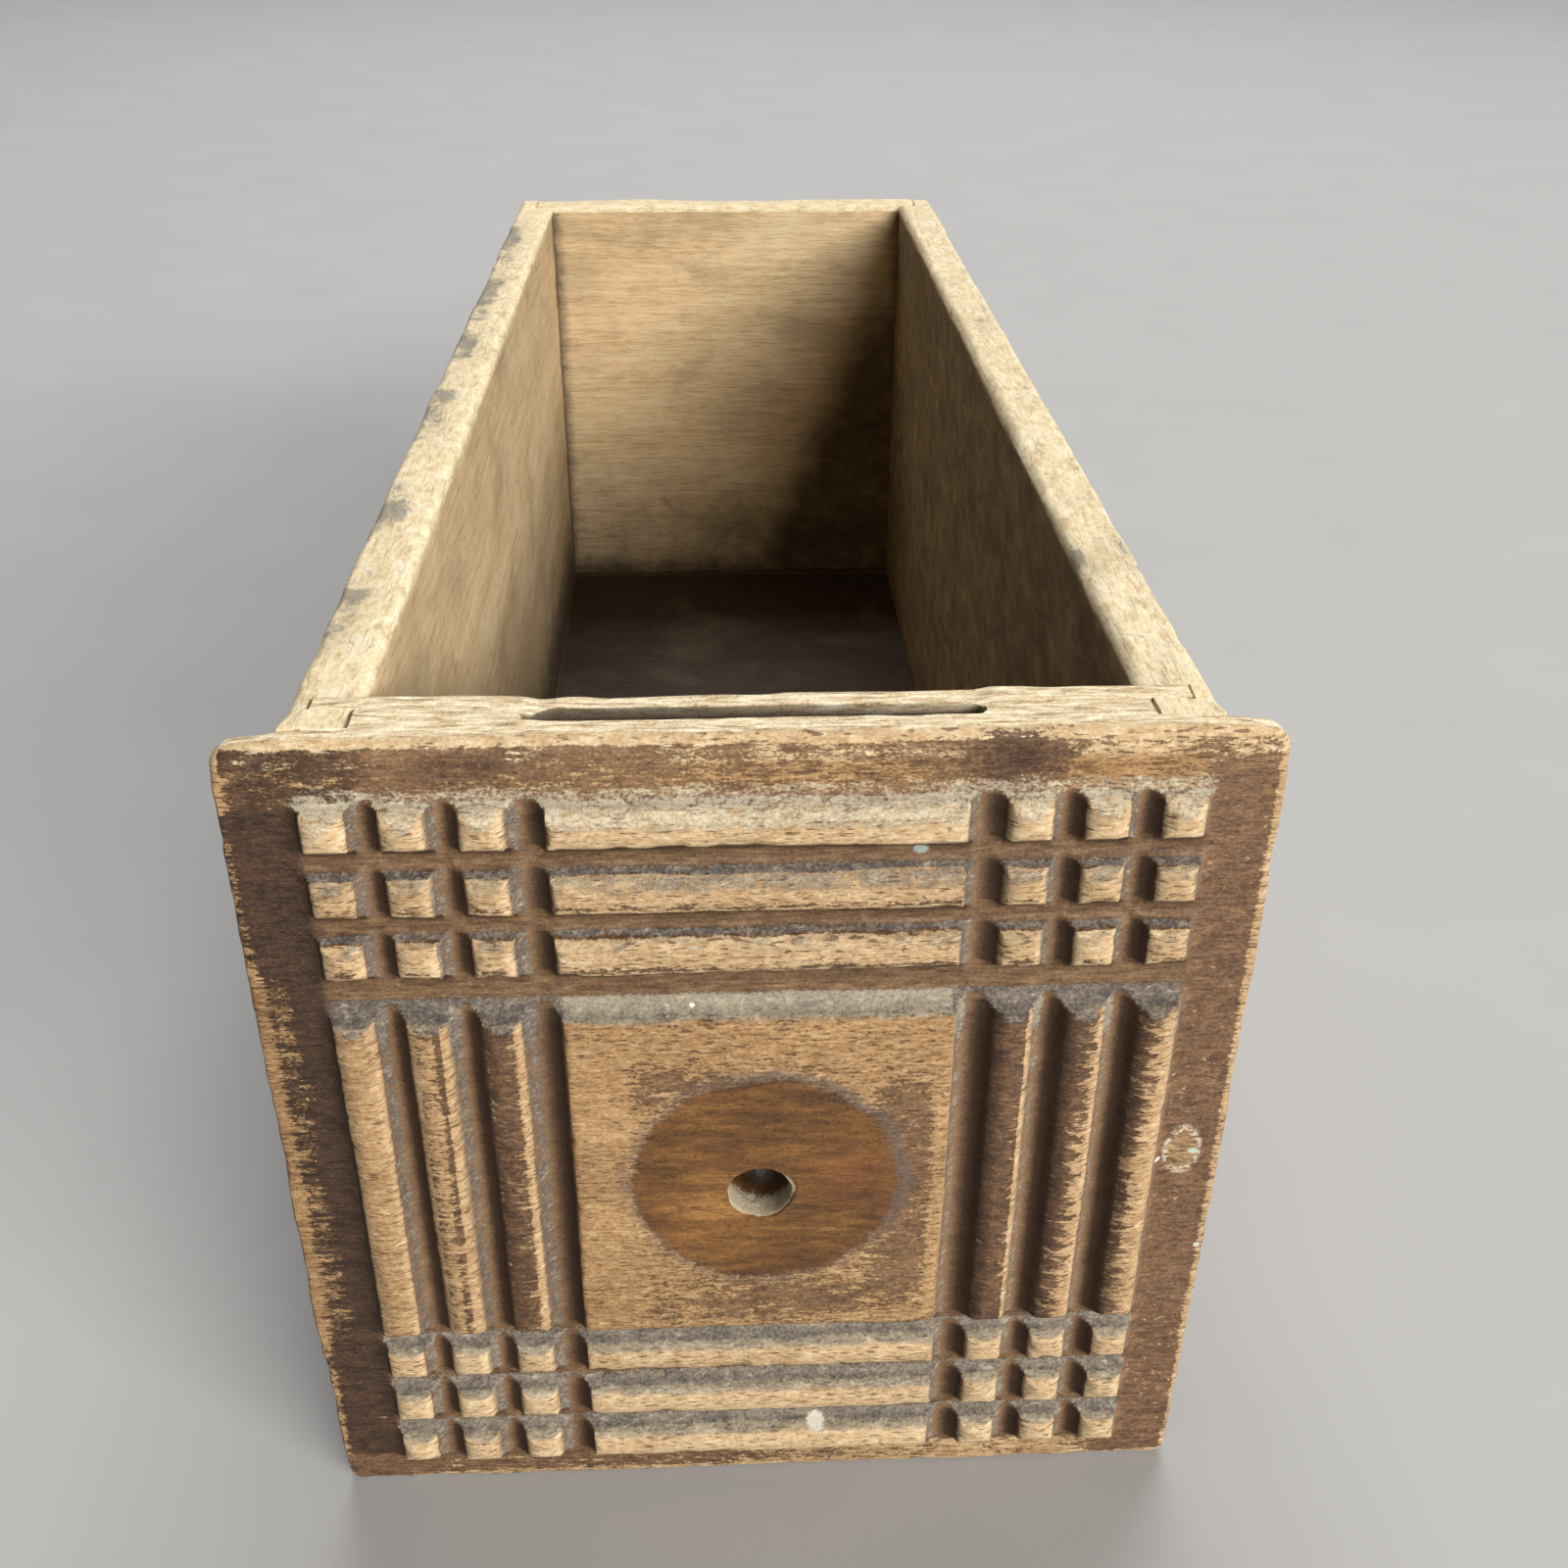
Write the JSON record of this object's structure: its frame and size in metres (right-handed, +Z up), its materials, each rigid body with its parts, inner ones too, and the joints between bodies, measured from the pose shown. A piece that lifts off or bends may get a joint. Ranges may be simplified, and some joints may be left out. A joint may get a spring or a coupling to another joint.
{
  "type": "wooden drawer",
  "caption": "Long narrow wooden drawer with a lipped front board carved in reeds round a plain field, a bolt hole for its missing pull, and a blind slot in the top edge.",
  "frame": {"origin": "under the middle of the drawer, at the height of the lip's bottom edge", "axes": "+Z up, out of the open top; -Y out of the carved front; +X to the right, seen from the front"},
  "size_m": [0.141, 0.351, 0.144],
  "materials": {
    "front_wood": "old dark stain, rubbed through to pale wood on every high spot",
    "side_wood": "thin stain, worn and dusty, pale on the upper edges",
    "back_wood": "thin stain, dry and dusty",
    "bottom_wood": "dark, dirty and dry",
    "nail_iron": "dull dark iron, lightly rusted"
  },
  "bodies": {
    "root": {"front_board": "front_wood", "left_side": "side_wood", "right_side": "side_wood", "back_board": "back_wood", "bottom_panel": "bottom_wood", "left_back_nails": "nail_iron", "right_back_nails": "nail_iron", "bottom_nails": "nail_iron"}
  },
  "joints": []
}
